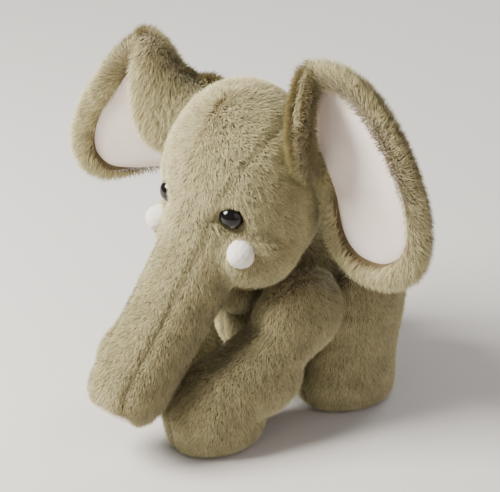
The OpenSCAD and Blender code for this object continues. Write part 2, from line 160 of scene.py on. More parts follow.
def new_material(name, roughness, **sockets):
    """A material whose shader's own sockets hold every number that is the same all over."""
    m = bpy.data.materials.new(name)
    m.use_nodes = True
    shader = m.node_tree.nodes["Principled BSDF"]
    shader.inputs["Roughness"].default_value = roughness
    for key, value in sockets.items():
        shader.inputs[key.replace("_", " ")].default_value = value
    return m, m.node_tree, shader


def tinted(tree, shader, share, dark, light):
    """Colours a shader by a share between two hex colours."""
    tint = add_node(tree, "ShaderNodeMix", {0: share, 6: linear(dark), 7: linear(light)}, data_type="RGBA")
    tree.links.new(tint.outputs[2], shader.inputs["Base Color"])


# %% Floor and lights
floor_mesh = bpy.data.meshes.new("floor")
floor_mesh.from_pydata([(-3, -3, 0), (3, -3, 0), (3, 3, 0), (-3, 3, 0)], [], [(0, 1, 2, 3)])
floor = bpy.data.objects.new("floor", floor_mesh)
scene.collection.objects.link(floor)
floor_paint, floor_tree, floor_shader = new_material("pale_paper", 0.9)
floor_grain = add_node(floor_tree, "ShaderNodeTexNoise", {"Scale": 60.0, "Detail": 3.0})
tinted(floor_tree, floor_shader, floor_grain.outputs["Fac"], "#D9D6D3", "#DDDAD7")
floor_mesh.materials.append(floor_paint)


def soft_light(name, direction, distance, size, power, tint):
    lamp = bpy.data.lights.new(name, "AREA")
    lamp.shape, lamp.size, lamp.energy = "SQUARE", size, power
    lamp.color = linear(tint)[:3]
    ob = bpy.data.objects.new(name, lamp)
    scene.collection.objects.link(ob)
    z = unit(direction)
    x = unit(np.cross(UP, z))
    m = np.eye(4)
    m[:3, :3] = np.stack([x, np.cross(z, x), z], 1)
    m[:3, 3] = look_at * MM + z * distance
    ob.matrix_world = Matrix(m.tolist())


soft_light("window", -0.95 * across + 0.15 * back_to_camera + 0.8 * UP, 0.9, 0.4, 25.0, "#FFFBF2")
soft_light("fill", 0.9 * across + 0.7 * back_to_camera + 0.25 * UP, 1.2, 0.9, 2.4, "#FFE9E0")
soft_light("back", 0.5 * across - 0.9 * back_to_camera + 0.9 * UP, 1.2, 0.6, 5.0, "#FFFFFF")
world = bpy.data.worlds.new("studio")
world.use_nodes = True
world.node_tree.nodes["Background"].inputs["Color"].default_value = linear("#F4F2F0")
world.node_tree.nodes["Background"].inputs["Strength"].default_value = 0.36
scene.world = world

# %% [markdown]
# ## The fabrics
# The toy is sewn from short-pile plush. A plush is a knitted backing that carries a dense pile, so it is
# made here the same way: a matt backing in the shade colour, and hairs that are darker at the root, which is
# painted shade deep in the pile, and pale at the tip, which is a painted highlight. A hair's own small map
# says how far along it a point lies and how light the hair is.

# %% Plush backing, a knitted polyester
plush_back, tree, shader = new_material("plush_backing_polyester", 0.95)
place_in = add_node(tree, "ShaderNodeTexCoord")
blotch = add_node(
    tree, "ShaderNodeTexNoise", {"Vector": place_in.outputs["Object"], "Scale": 90.0, "Detail": 2.0}
)
tinted(tree, shader, blotch.outputs["Fac"], "#5A4B33", "#726246")
loops = add_node(tree, "ShaderNodeTexVoronoi", {"Vector": place_in.outputs["Object"], "Scale": 1400.0})
bump = add_node(
    tree, "ShaderNodeBump", {"Height": loops.outputs["Distance"], "Distance": 0.0003, "Strength": 0.6}
)
tree.links.new(bump.outputs["Normal"], shader.inputs["Normal"])

# %% Pile, fine polyester hairs


def pile_material(name, root, middle, tip, shade):
    """Hairs: the map's second number runs from root to tip, from painted shade to a painted highlight, the
    first from the darkest hair to the lightest.
    """
    m, tree, shader = new_material(name, 0.62, Sheen_Weight=0.25, Sheen_Roughness=0.5, Specular_IOR_Level=0.25)
    uv = add_node(tree, "ShaderNodeUVMap", uv_map="OFBake")
    axes = add_node(tree, "ShaderNodeSeparateXYZ", {0: uv.outputs["UV"]})
    along = add_node(tree, "ShaderNodeValToRGB", {0: axes.outputs["Y"]})
    # The root colour is painted shade deep in the pile, the tip colour is a painted highlight, and the middle
    # colour is the fibre's own.
    ramp = along.color_ramp
    ramp.elements[0].color, ramp.elements[1].color = linear(root), linear(tip)
    ramp.elements.new(0.45).color = linear(middle)
    light = add_node(
        tree, "ShaderNodeMapRange", {"Value": axes.outputs["X"], "To Min": 1 - shade, "To Max": 1 + shade * 0.6}
    )
    colour = add_node(
        tree, "ShaderNodeVectorMath", {0: along.outputs["Color"], "Scale": light.outputs[0]}, operation="SCALE"
    )
    tree.links.new(colour.outputs[0], shader.inputs["Base Color"])
    return m


# root colour: painted shade in the pile; middle: the fibre's own colour; tip colour: painted highlight
plush_pile = pile_material("plush_pile_polyester_painted_shade_and_highlight", "#5E4E34", "#A8996C", "#DDD6A8", 0.5)

# %% [markdown]
# The ears are lined and the feet are soled with smooth velour, a fabric whose pile is so short that only
# its sheen shows. The tusks are felt: matt, with fibres matted in every direction.

# %% Velour and felt


def matted_material(name, dark, light, scale, bump_mm, roughness, sheen):
    m, tree, shader = new_material(
        name, roughness, Sheen_Weight=sheen, Sheen_Roughness=0.4, Specular_IOR_Level=0.2
    )
    at = add_node(tree, "ShaderNodeTexCoord").outputs["Object"]
    fibres = add_node(
        tree, "ShaderNodeTexNoise", {"Vector": at, "Scale": scale, "Detail": 5.0, "Roughness": 0.7}
    )
    clouds = add_node(tree, "ShaderNodeTexNoise", {"Vector": at, "Scale": 35.0, "Detail": 2.0})
    both = add_node(
        tree, "ShaderNodeMath", {0: fibres.outputs["Fac"], 1: clouds.outputs["Fac"]}, operation="MULTIPLY"
    )
    spread = add_node(tree, "ShaderNodeMapRange", {"Value": both.outputs[0], "From Min": 0.12, "From Max": 0.4})
    tinted(tree, shader, spread.outputs[0], dark, light)
    bump = add_node(
        tree, "ShaderNodeBump", {"Height": fibres.outputs["Fac"], "Distance": bump_mm * MM, "Strength": 0.5}
    )
    tree.links.new(bump.outputs["Normal"], shader.inputs["Normal"])
    return m


velour = matted_material("smooth_velour_polyester", "#E6D6CD", "#F3E9E3", 1500.0, 0.25, 0.85, 0.4)
felt = matted_material("white_wool_felt", "#E4DDD4", "#F6F2EC", 900.0, 0.5, 0.9, 0.3)

# %% [markdown]
# ## Building skins
# A stuffed part is round wherever nothing holds it. Each one is roughed out from a few closed solids,
# fused into one skin by a voxel remesh and relaxed, which is how stuffing rounds off a sewn corner.

# %% Closed solids to start from


def egg(centre, radii, axes=(head_x, head_y, UP), around=32, rings=16):
    """A closed ball with three radii along three directions."""
    axes = np.array(axes, float)
    points = [centre - axes[2] * radii[2]]
    for i in range(1, rings):
        b = -pi / 2 + pi * i / rings
        for k in range(around):
            a = 2 * pi * k / around
            spot = [radii[0] * cos(b) * cos(a), radii[1] * cos(b) * sin(a), radii[2] * sin(b)]
            points.append(centre + np.array(spot) @ axes)
    points.append(centre + axes[2] * radii[2])
    return np.array(points), capped(rings - 1, around)


def capped(rings, around):
    """Faces for rings of points between two single end points."""
    last = 1 + rings * around
    faces = []
    for k in range(around):
        n = (k + 1) % around
        faces.append((0, 1 + n, 1 + k))
        for low in range(1, last - around, around):
            faces.append((low + k, low + n, low + around + n, low + around + k))
        faces.append((last, last - around + k, last - around + n))
    return faces


def loft(sections, around=32):
    """A closed tube through sections, each a middle and the two half widths as vectors."""
    points = [sections[0][0]]
    for middle, a, b in sections:
        points += [middle + a * cos(2 * pi * k / around) + b * sin(2 * pi * k / around) for k in range(around)]
    points.append(sections[-1][0])
    return np.array(points), capped(len(sections), around)


def new_piece(name, points, faces, material=None):
    mesh = bpy.data.meshes.new(name)
    mesh.from_pydata((np.asarray(points) * MM).tolist(), [], [list(map(int, f)) for f in faces])
    mesh.polygons.foreach_set("use_smooth", [True] * len(mesh.polygons))
    ob = bpy.data.objects.new(name, mesh)
    scene.collection.objects.link(ob)
    if material:
        mesh.materials.append(material)
    return ob


def points_of(ob):
    co = np.empty(len(ob.data.vertices) * 3)
    ob.data.vertices.foreach_get("co", co)
    return co.reshape(-1, 3) / MM


def normals_of(ob):
    n = np.empty(len(ob.data.vertices) * 3)
    ob.data.vertices.foreach_get("normal", n)
    return n.reshape(-1, 3)


def move_points(ob, points):
    ob.data.vertices.foreach_set("co", (np.asarray(points) * MM).ravel())
    ob.data.update()


def settled(ob):
    """Applies an object's modifiers to its mesh."""
    mesh = bpy.data.meshes.new_from_object(ob.evaluated_get(bpy.context.evaluated_depsgraph_get()))
    ob.modifiers.clear()
    ob.data = mesh
    mesh.polygons.foreach_set("use_smooth", [True] * len(mesh.polygons))
    return ob


def fused_skin(name, solids, material, voxel=2.2, relax=8):
    """One skin round several closed solids, relaxed as stuffing relaxes it."""
    points, faces = [], []
    for p, f in solids:
        faces += [[i + len(points) for i in face] for face in f]
        points += list(p)
    ob = new_piece(name, points, faces)
    remesh = ob.modifiers.new("fuse", "REMESH")
    remesh.mode, remesh.voxel_size = "VOXEL", voxel * MM
    soften = ob.modifiers.new("soften", "SMOOTH")
    soften.factor, soften.iterations = 0.5, relax
    settled(ob)
    ob.data.materials.clear()
    ob.data.materials.append(material)
    return ob


# %% [markdown]
# Cloth simulation gives the skins the swell of real stuffing. The skin is blown up gently from inside,
# while the points along its seams are held, because a seam doesn't stretch. No point may move further
# than a small cap, so that the part keeps its size.

# %% Stuffing by cloth simulation


def stuffed(ob, held, cap, pressure=4.0, frames=16):
    """Swells a skin with the points where held is near 1 kept in place. cap is in millimetres."""
    rest = points_of(ob)
    group = ob.vertex_groups.new(name="sewn")
    for i, w in enumerate(held):
        group.add([i], float(w), "REPLACE")
    cloth = ob.modifiers.new("stuffing", "CLOTH")
    cloth.settings.quality = 4
    cloth.settings.use_pressure = True
    cloth.settings.uniform_pressure_force = pressure
    cloth.settings.vertex_group_mass = "sewn"
    cloth.settings.effector_weights.gravity = 0
    cloth.point_cache.frame_end = frames
    for f in range(1, frames + 1):
        scene.frame_set(f)
    shape = ob.evaluated_get(bpy.context.evaluated_depsgraph_get()).data
    co = np.empty(len(shape.vertices) * 3)
    shape.vertices.foreach_get("co", co)
    move = co.reshape(-1, 3) / MM - rest
    size = np.linalg.norm(move, axis=1, keepdims=True)
    ob.modifiers.remove(cloth)
    ob.vertex_groups.clear()
    scene.frame_set(1)
    move_points(ob, rest + move * np.minimum(1, cap / np.maximum(size, 1e-9)))
    print(ob.name, "swelled by", float(np.minimum(size, cap).mean().round(2)), "mm on average")
    return ob


def finer(ob):
    """One level of subdivision, applied."""
    fine = ob.modifiers.new("finer", "SUBSURF")
    fine.levels = fine.render_levels = 1
    return settled(ob)


def pressed(ob, near, depth):
    """Pulls the skin in along its seams. near is 1 on a seam and falls to 0 beside it."""
    move_points(ob, points_of(ob) - normals_of(ob) * (near * depth)[:, None])
    return ob


def mirror_of(ob, name):
    """The same piece on the right side, with its faces turned to point outwards again."""
    p = points_of(ob)
    p[:, 0] = 2 * middle_x - p[:, 0]
    faces = [list(reversed(f.vertices)) for f in ob.data.polygons]
    return new_piece(name, p, faces, ob.data.materials[0])


# %% [markdown]
# ## Growing the pile
# Thousands of hairs are one job for Geometry Nodes: points are scattered over a skin, a small blade is put
# on each, leaned along the way the pile is combed, and everything is made real at the end. The skin
# carries three values for it at each point: the combing direction, the length and how thickly it grows.

# %% One hair
blade = bpy.data.meshes.new("hair")
blade.from_pydata([(0, 0, 0), (-0.5, 0.15, 0.5), (0.5, 0.15, 0.5), (0, 0, 1)], [], [(0, 1, 2), (1, 3, 2)])
blade_map = blade.uv_layers.new(name="OFBake")
for loop, spot in zip(blade_map.data, [(0.5, 0), (0, 0.5), (1, 0.5), (0, 0.5), (0.5, 1), (1, 0.5)]):
    loop.uv = spot
hair = bpy.data.objects.new("hair", blade)

# %% The pile's node tree


def pile_tree():
    tree = bpy.data.node_groups.new("pile", "GeometryNodeTree")
    for name, kind in [
        ("Geometry", "Geometry"), ("Hair", "Object"), ("Pile", "Material"), ("Cover", "String"),
        ("Density", "Float"), ("Length", "Float"), ("Width", "Float"), ("Lean", "Float"), ("Tuft", "Float"),
        ("Spread", "Float"), ("Seed", "Int")
    ]:
        tree.interface.new_socket(name, in_out="INPUT", socket_type="NodeSocket" + kind)
    tree.interface.new_socket("Geometry", in_out="OUTPUT", socket_type="NodeSocketGeometry")
    given = add_node(tree, "NodeGroupInput").outputs

    def on_skin(name, kind="FLOAT"):
        return add_node(
            tree, "GeometryNodeInputNamedAttribute", {"Name": name}, data_type=kind
        ).outputs["Attribute"]

    def vector(operation, a, b):
        return add_node(
            tree, "ShaderNodeVectorMath", {0: a, 3 if operation == "SCALE" else 1: b}, operation=operation
        ).outputs[0]

    def number(operation, a, b):
        return add_node(tree, "ShaderNodeMath", {0: a, 1: b}, operation=operation).outputs[0]

    def chance(low, high, shift):
        seed = number("ADD", given["Seed"], float(shift))
        return add_node(tree, "FunctionNodeRandomValue", {2: low, 3: high, "Seed": seed}).outputs[1]

    many = number("MULTIPLY", given["Density"], on_skin(given["Cover"]))
    points = add_node(
        tree, "GeometryNodeDistributePointsOnFaces",
        {"Mesh": given["Geometry"], "Density": many, "Seed": given["Seed"]}
    )
    at = add_node(tree, "GeometryNodeInputPosition").outputs[0]
    tufts = add_node(tree, "ShaderNodeTexNoise", {"Vector": at, "Scale": 330.0, "Detail": 1.0})
    tuft_way = vector("SCALE", vector("SUBTRACT", tufts.outputs["Color"], (0.5, 0.5, 0.5)), given["Tuft"])
    strays = add_node(
        tree, "FunctionNodeRandomValue", {0: (-1, -1, -1), 1: (1, 1, 1), "Seed": given["Seed"]},
        data_type="FLOAT_VECTOR"
    ).outputs[0]
    way = vector(
        "ADD", points.outputs["Normal"], vector("SCALE", on_skin("comb", "FLOAT_VECTOR"), given["Lean"])
    )
    way = vector("ADD", vector("ADD", way, tuft_way), vector("SCALE", strays, given["Spread"]))
    turn = add_node(tree, "FunctionNodeAlignRotationToVector", {"Vector": way}, axis="Z").outputs[0]
    turn = add_node(
        tree, "FunctionNodeAlignRotationToVector", {"Rotation": turn, "Vector": points.outputs["Normal"]},
        axis="Y", pivot_axis="Z"
    ).outputs[0]
    long = number("MULTIPLY", number("MULTIPLY", given["Length"], on_skin("pile")), chance(0.72, 1.15, 1))
    size = add_node(
        tree, "ShaderNodeCombineXYZ",
        {0: number("MULTIPLY", given["Width"], chance(0.7, 1.3, 2)), 1: long, 2: long}
    ).outputs[0]
    one = add_node(tree, "GeometryNodeObjectInfo", {"Object": given["Hair"]})
    hairs = add_node(
        tree, "GeometryNodeInstanceOnPoints",
        {
            "Points": points.outputs["Points"], "Instance": one.outputs["Geometry"], "Rotation": turn,
            "Scale": size
        }
    )
    patches = add_node(tree, "ShaderNodeTexNoise", {"Vector": at, "Scale": 170.0, "Detail": 2.0}).outputs["Fac"]
    tone = number("ADD", number("MULTIPLY", patches, 0.9), chance(-0.2, 0.3, 3))
    toned = add_node(
        tree, "GeometryNodeStoreNamedAttribute", {"Geometry": hairs.outputs[0], "Name": "tone", "Value": tone},
        domain="INSTANCE"
    )
    real = add_node(tree, "GeometryNodeRealizeInstances", {"Geometry": toned.outputs[0]})
    old = add_node(tree, "ShaderNodeSeparateXYZ", {0: on_skin("OFBake", "FLOAT_VECTOR")}).outputs
    clear = add_node(tree, "ShaderNodeClamp", {"Value": on_skin("tone"), "Min": 0.0, "Max": 1.0}).outputs[0]
    u = number("ADD", number("MULTIPLY", clear, 0.94), number("MULTIPLY", old["X"], 0.05))
    uv = add_node(tree, "ShaderNodeCombineXYZ", {0: u, 1: old["Y"]}).outputs[0]
    mapped = add_node(
        tree, "GeometryNodeStoreNamedAttribute", {"Geometry": real.outputs[0], "Name": "OFBake", "Value": uv},
        data_type="FLOAT2", domain="CORNER"
    )
    dyed = add_node(tree, "GeometryNodeSetMaterial", {"Geometry": mapped.outputs[0], "Material": given["Pile"]})
    add_node(tree, "NodeGroupOutput", {0: dyed.outputs[0]})
    return tree


piling = pile_tree()
sockets = {s.name: s.identifier for s in piling.interface.items_tree if s.in_out == "INPUT"}
hairs_made = 0


def on_points(ob, name, values, kind="FLOAT"):
    """Stores a value or a direction at each point of a skin."""
    values = np.asarray(values, float)
    attribute = ob.data.attributes.get(name) or ob.data.attributes.new(name, kind, "POINT")
    attribute.data.foreach_set("vector" if kind == "FLOAT_VECTOR" else "value", values.ravel())


def combed(ob, way, pile, cover=1.0):
    """Lays the combing direction flat along the skin, and sets the pile's length and thickness."""
    n = normals_of(ob)
    way = np.broadcast_to(way, n.shape)
    flat = unit(way - n * (n * way).sum(1, keepdims=True))
    on_points(ob, "comb", flat, "FLOAT_VECTOR")
    on_points(ob, "pile", np.broadcast_to(pile, len(n)))
    on_points(ob, "cover", np.broadcast_to(cover, len(n)))


def grow(
    name, skin, length=4.3, density=7.5, seed=1, cover="cover", lean=0.85, tuft=0.8, spread=0.42, width=0.22
):
    """Grows hairs on a skin as one mesh. Lengths are in millimetres, density in hairs per square millimetre."""
    global hairs_made
    carrier = bpy.data.objects.new("carrier", skin.data.copy())
    scene.collection.objects.link(carrier)
    pile = carrier.modifiers.new("pile", "NODES")
    pile.node_group = piling
    for key, value in {
        "Hair": hair, "Pile": plush_pile, "Cover": cover, "Density": density * 1e6, "Length": length * MM,
        "Width": width * MM, "Lean": lean, "Tuft": tuft, "Spread": spread, "Seed": seed
    }.items():
        pile[sockets[key]] = value
    mesh = bpy.data.meshes.new_from_object(carrier.evaluated_get(bpy.context.evaluated_depsgraph_get()))
    bpy.data.objects.remove(carrier)
    for extra in (
        "comb", "pile", "cover", "tone", "cover_forehead", "cover_left", "cover_right", "flat", "shows", "inner"
    ):
        if extra in mesh.attributes:
            mesh.attributes.remove(mesh.attributes[extra])
    ob = bpy.data.objects.new(name, mesh)
    scene.collection.objects.link(ob)
    p = points_of(ob)
    p[:, 2] = np.maximum(p[:, 2], 0.3)  # no hair reaches into the table
    move_points(ob, p)
    hairs_made += len(mesh.polygons) // 2
    print(name, len(mesh.polygons), "faces")
    return ob


def near(distance, width):
    """1 at no distance, and falling to 0 over about twice the width."""
    return np.exp(-((distance / width) ** 2))


def ease(x, low, high):
    """0 below low, 1 above high, and smooth between."""
    t = np.clip((x - low) / (high - low), 0, 1)
    return t * t * (3 - 2 * t)


# %% [markdown]
# ## The head
# The head is a tall egg that ends in the trunk. Three panels make it: a forehead strip that runs from the
# back of the head over the face and down the top of the trunk, and a panel on each side. The skull, the
# cheeks and the first half of the trunk are fused, so that the face flows into the trunk with no joint.

# %% Head skin
trunk_radii = [
    (-16, 15), (-6, 19.0), (6, 19.6), (18, 19.2), (32, 18.4), (48, 18.0), (62, 17.8), (76, 18.0), (84, 17.6),
    (89, 16.0), (93, 12.5), (cover_end, 7)
]
pile_parts_at = 33  # along the trunk: the head's pile ends here and the lower trunk's begins


def trunk_radius(t):
    """The trunk's radius at a distance along it."""
    return np.interp(t, *np.array(trunk_radii).T)


def trunk_tube(start, stop, step=4.0):
    at = [t for t in np.arange(start, stop - 1, step)] + [stop]
    return loft(
        [(trunk_root + trunk_dir * t, head_x * trunk_radius(t) * 1.03, trunk_top * trunk_radius(t)) for t in at]
    )


def trunk_coords(p):
    d = np.asarray(p) - trunk_root
    return d @ trunk_dir, d @ trunk_top


def panel_edge(p, n):
    """How far each point lies outside the forehead strip's edge, measured along the skin."""
    x, y, z = head_coords(p)
    t, top = trunk_coords(p)
    front = np.interp(z, [-24, -13, -3, 7, 19, 31, 37, 43], [12, 12.5, 13.5, 16.5, 21.5, 25, 25, 22])
    half = front * (1 - ease(y, 0, 18)) + 20 * ease(y, 0, 18)
    on_trunk = ease(t, -8, 10)
    half = half * (1 - on_trunk) + 11.6 * on_trunk
    edge = (np.abs(x) - half) / np.sqrt(np.maximum(1 - (n @ head_x) ** 2, 0.12))
    return np.where((on_trunk > 0.5) & (top < 0), 9.0, edge)


head_skin = fused_skin("head_skin", [
    egg(head_mid, (38.4, 38.4, 50.2)),
    *[egg(in_head(s * 17, -12, -25), (21.5, 23, 19)) for s in (1, -1)],
    egg(in_head(0, -27, -14), (19, 17, 20)),
    trunk_tube(-16, 40)], plush_back)
p, n = points_of(head_skin), normals_of(head_skin)
seam = near(panel_edge(p, n), 2.2)
stuffed(head_skin, np.clip(0.1 + seam, 0, 1), 1.6)
finer(head_skin)


eye_angle, eye_reach, eye_drop = radians(35.4), 37.45, 2.6


def eye_spot(s):
    """Where an eye sits on the left (s = 1) or the right (s = -1), and the way it faces."""
    way = sin(eye_angle) * s * head_x - cos(eye_angle) * head_y
    return head_mid + way * eye_reach - eye_drop * UP, way


p, n = points_of(head_skin), normals_of(head_skin)
pressed(head_skin, near(panel_edge(p, n), 1.5), 1.0)
p = points_of(head_skin)
bare = np.zeros(len(p))
tuck = np.zeros(len(p))
for s in (1, -1):
    spot, way = eye_spot(s)
    away = p - spot
    out = away @ way
    aside = np.linalg.norm(away - np.outer(out, way), axis=1)
    socket = (aside < 13) & (np.abs(out) < 14)
    lower = out - (-0.8 + 0.9 * ease(aside, 5.5, 12))
    p = p - np.outer(np.where(socket, np.maximum(lower, 0) * (1 - ease(aside, 6.5, 12.5)), 0), way)
    bare = np.maximum(bare, np.where(socket, 1 - ease(aside, 5.2, 9.5), 0))
    inner = in_head(s * 12.5, -34.5, -4.5)
    tuck = np.maximum(
        tuck, near(np.linalg.norm((p - inner) @ np.stack([head_x * 0.42, head_y * 0.5, UP], 1), axis=1), 1.9)
    )
move_points(head_skin, p)
pressed(head_skin, tuck, 1.5)
print("head skin", len(head_skin.data.polygons), "faces")

# %% Head pile
p, n = points_of(head_skin), normals_of(head_skin)
x = head_coords(p)[0]
t = trunk_coords(p)[0]
edge = panel_edge(p, n)
down = 0.5 * head_y - 0.9 * UP
way = down + np.outer(ease(t, -12, 10), trunk_dir - down) + np.outer(np.sign(x) * 0.25, head_x)
short = (1 - 0.3 * near(edge, 1.6)) * (1 - 0.72 * bare) * (1 - 0.4 * tuck)
seen = (t < pile_parts_at) * (1 - (bare > 0.93))
combed(head_skin, way, short, seen)
inside = (edge < 0)
on_points(head_skin, "cover_forehead", seen * inside)
on_points(head_skin, "cover_left", seen * ~inside * (x > 0))
on_points(head_skin, "cover_right", seen * ~inside * (x <= 0))
head_parts = [head_skin]
for k, part in enumerate(("forehead", "left", "right")):
    pile = grow(f"head_{part}_pile", head_skin, seed=11 + k, cover=f"cover_{part}")
    head_parts.append(pile)
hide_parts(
    "head_forehead_panel", "head_left_panel", "head_right_panel", "head_stuffing",
    "trunk_upper_cover", "trunk_upper_stuffing"
)
for ob in head_parts:
    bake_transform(ob)

# %% [markdown]
# ## The trunk's lower half
# It overlaps the head's skin where both follow the same body.

# %% Lower trunk
trunk_skin = fused_skin("trunk_skin", [trunk_tube(24, cover_end, 3.0)], plush_back)
p, n = points_of(trunk_skin), normals_of(trunk_skin)
stuffed(trunk_skin, np.clip(0.1 + near(panel_edge(p, n), 2.0), 0, 1), 1.2)
finer(trunk_skin)
p, n = points_of(trunk_skin), normals_of(trunk_skin)
t, top = trunk_coords(p)
x = (p - trunk_root) @ head_x
edge = panel_edge(p, n)
under = np.where(top < 0, np.abs(x), 9.0)
pressed(
    trunk_skin, np.maximum(near(edge, 1.5), near(under, 1.5)) * (1 - ease(t, trunk_l - 16, trunk_l - 5)), 1.0
)
tip = ease(t, trunk_l - 3.5, trunk_l - 1.5)
combed(
    trunk_skin, trunk_dir, (1 - 0.45 * near(np.minimum(np.abs(edge), under), 2.0)) * (1 - 0.3 * tip),
    (t >= pile_parts_at) * (tip < 0.8)
)
trunk_pile = grow("trunk_pile", trunk_skin, seed=21)
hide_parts("trunk_lower_cover", "trunk_lower_stuffing")

# %% [markdown]
# A round patch of velour closes the trunk. It is a shallow cushion, because the stuffing pushes it out.

# %% Trunk tip patch


def cushion(name, middle, a, b, out, thick, crown, material, rings=7, around=48):
    """A closed shallow cushion: its outline is an oval with half widths a and b, and out is where it faces."""
    profile = [(0.55, -thick), (0.9, -thick * 0.9), (1.0, -thick * 0.35), (0.985, 0.0)]
    profile += [
        (cos(k * pi / 2 / rings) ** 0.8 * 0.95, crown * sin(k * pi / 2 / rings)) for k in range(1, rings)
    ]
    points = [middle - out * thick]
    turns = [2 * pi * k / around for k in range(around)]
    for share, height in profile:
        points += [middle + (a * cos(turn) + b * sin(turn)) * share + out * height for turn in turns]
    points.append(middle + out * crown)
    return new_piece(name, points, capped(len(profile), around), material)


tip_patch = cushion(
    "trunk_tip_velour", trunk_root + trunk_dir * cover_end, head_x * 11.5, trunk_top * 11.0, trunk_dir,
    2.0, 1.6, velour
)
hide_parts("trunk_tip_patch")
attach(tip_patch, "trunk_lower")
for ob in (trunk_skin, trunk_pile):
    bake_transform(ob)

# %% [markdown]
# ## Lower jaw, tusks and eyes
# The jaw is a small stuffed pouch behind the trunk. The tusks are little felt tubes with a few fibres of
# filling in them, so they are soft stubs with a round end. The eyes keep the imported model's shape.

# %% Lower jaw
jaw_mid = in_head(0, -9.9, -55)
jaw = fused_skin(
    "jaw_skin",
    [
        egg(jaw_mid + s * 6.5 * head_x, (9.6, 9.8, 9.4)) for s in (-1, 0, 1)
    ] + [egg(jaw_mid + 7 * UP, (12, 9, 9))],
    plush_back, voxel=1.6, relax=6
)
combed(jaw, -UP - 0.3 * head_y, 0.95)
jaw_pile = grow("jaw_pile", jaw, seed=31)
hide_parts("lower_jaw")
for ob in (jaw, jaw_pile):
    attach(ob, "head")

# %% Tusks
tusk_angle, tusk_reach, tusk_drop = radians(43), 35.2, 17


def tusk(side, s):
    """A felt tube with a round end, as rings of a place along it and a radius."""
    out = s * sin(tusk_angle) * head_x - cos(tusk_angle) * head_y
    way = unit(0.93 * out - 0.37 * UP)
    root = head_mid + out * tusk_reach - tusk_drop * UP
    a = unit(np.cross(UP, out))
    b = np.cross(way, a)
    rings = [
        (-4, 4.6), (-1, 5.2), (2, 5.9), (5, 6.5), (8, 6.7), (10.5, 6.2), (12.6, 4.9), (13.8, 3.0), (14.3, 1.2)
    ]
    sections = [(root + way * t, a * r * 1.06, b * r) for t, r in rings]
    ob = finer(new_piece(f"tusk_{side}_felt", *loft(sections, 24), felt))
    p = points_of(ob)
    wrinkle = np.sin(p @ (a * 1.9 + way * 0.7)) * np.sin(p @ (b * 1.5) + 1) * 0.18
    move_points(ob, p + normals_of(ob) * wrinkle[:, None])
    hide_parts(f"tusk_{side}")
    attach(ob, "head")


tusk("left", 1)
tusk("right", -1)

# %% [markdown]
# The eyes are polished black plastic: nearly no colour of their own, and one small sharp window light.

# %% Eyes and washers
eye_black, tree, shader = new_material("polished_black_acrylic", 0.06, IOR=1.49)
swirl = add_node(
    tree, "ShaderNodeTexNoise",
    {"Vector": add_node(tree, "ShaderNodeTexCoord").outputs["Object"], "Scale": 120.0}
)
tinted(tree, shader, swirl.outputs["Fac"], "#050505", "#120F0D")
washer_white, tree, shader = new_material("moulded_polypropylene", 0.45, IOR=1.49)
grain = add_node(
    tree, "ShaderNodeTexNoise",
    {"Vector": add_node(tree, "ShaderNodeTexCoord").outputs["Object"], "Scale": 900.0}
)
tinted(tree, shader, grain.outputs["Fac"], "#D8D8D2", "#E4E4DE")
for node, finish in [
    ("eye_left", eye_black), ("eye_right", eye_black), ("eye_washer_left", washer_white),
    ("eye_washer_right", washer_white)
]:
    for slot in bpy.data.objects[node].material_slots:
        slot.material = finish

# %% [markdown]
# ## The torso
# The body is short and mostly hidden by the head. It is fused from a belly, a chest and the neck, and its
# sides are pressed flat where the legs lie against it.

# %% Torso
side_lean = radians(19.7)
lean = sin(side_lean) / cos(side_lean)


def wall_x(z):
    """How far from the middle the torso's flat side is at a height."""
    return 27 + (z - torso_mid[2]) * lean


torso_skin = fused_skin("torso_skin", [
    egg(torso_mid, (30, 38, 38.8)),
    egg(torso_mid + np.array([0, -17, -11]), (27, 31, 28)),
    egg(torso_mid + np.array([0, 10, 4]), (29, 29, 31)),
    egg(neck + np.array([0, 2, -3]), (20, 20, 19))], plush_back)
p = points_of(torso_skin)
reach = wall_x(p[:, 2]) + 0.8
side = p[:, 0] - middle_x
p[:, 0] = middle_x + np.where(
    np.abs(side) > reach, np.sign(side) * (reach + 0.15 * (np.abs(side) - reach)), side
)
move_points(torso_skin, p)
belly_z = 29.0


def torso_seams(p):
    """Distance to the belly panel's seam, the chest's middle seam and the back's middle seam."""
    x, z = p[:, 0] - middle_x, p[:, 2]
    return np.minimum(np.abs(z - belly_z), np.where(z > belly_z, np.abs(x), 9.0))


stuffed(
    torso_skin,
    np.clip(0.15 + near(torso_seams(points_of(torso_skin)), 2.2) + (np.abs(side) > reach - 0.5), 0, 1), 1.2
)
finer(torso_skin)
pressed(torso_skin, near(torso_seams(points_of(torso_skin)), 1.5), 1.4)
p = points_of(torso_skin)
in_neck = ease(np.linalg.norm(p - (neck + 8 * unit(head_mid - neck)), axis=1), 15, 21)
behind_leg = (
    np.abs(p[:, 0] - middle_x) > wall_x(p[:, 2]) - 0.5
) & (p[:, 2] < 74) & (np.abs(p[:, 1] - torso_mid[1] + 8) < 36)
combed(
    torso_skin, np.array([0, 0.35, -0.95]), 1 - 0.4 * near(torso_seams(p), 2.0),
    in_neck * np.where(behind_leg, 0.12, 1) * np.where(p[:, 2] < belly_z, 0.75, 1)
)
torso_pile = grow("torso_pile", torso_skin, seed=41, density=5.5)
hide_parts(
    "torso_left_panel", "torso_right_panel", "torso_belly_panel", "torso_stuffing", "neck_stuffing"
)
for ob in (torso_skin, torso_pile):
    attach(ob, "torso")

# %% [markdown]
# ## The legs
# A leg is an outer and an inner panel sewn together down the front and the back, with a sole let in. The
# front legs reach forward to a round mitten of a foot, and the hind legs stand like columns. A leg is
# lofted from its foot to its hip, fused with its toe, and stuffed.

# %% Leg shapes
foot_out, foot_half_w, hip_out = 30, 19.5, 50


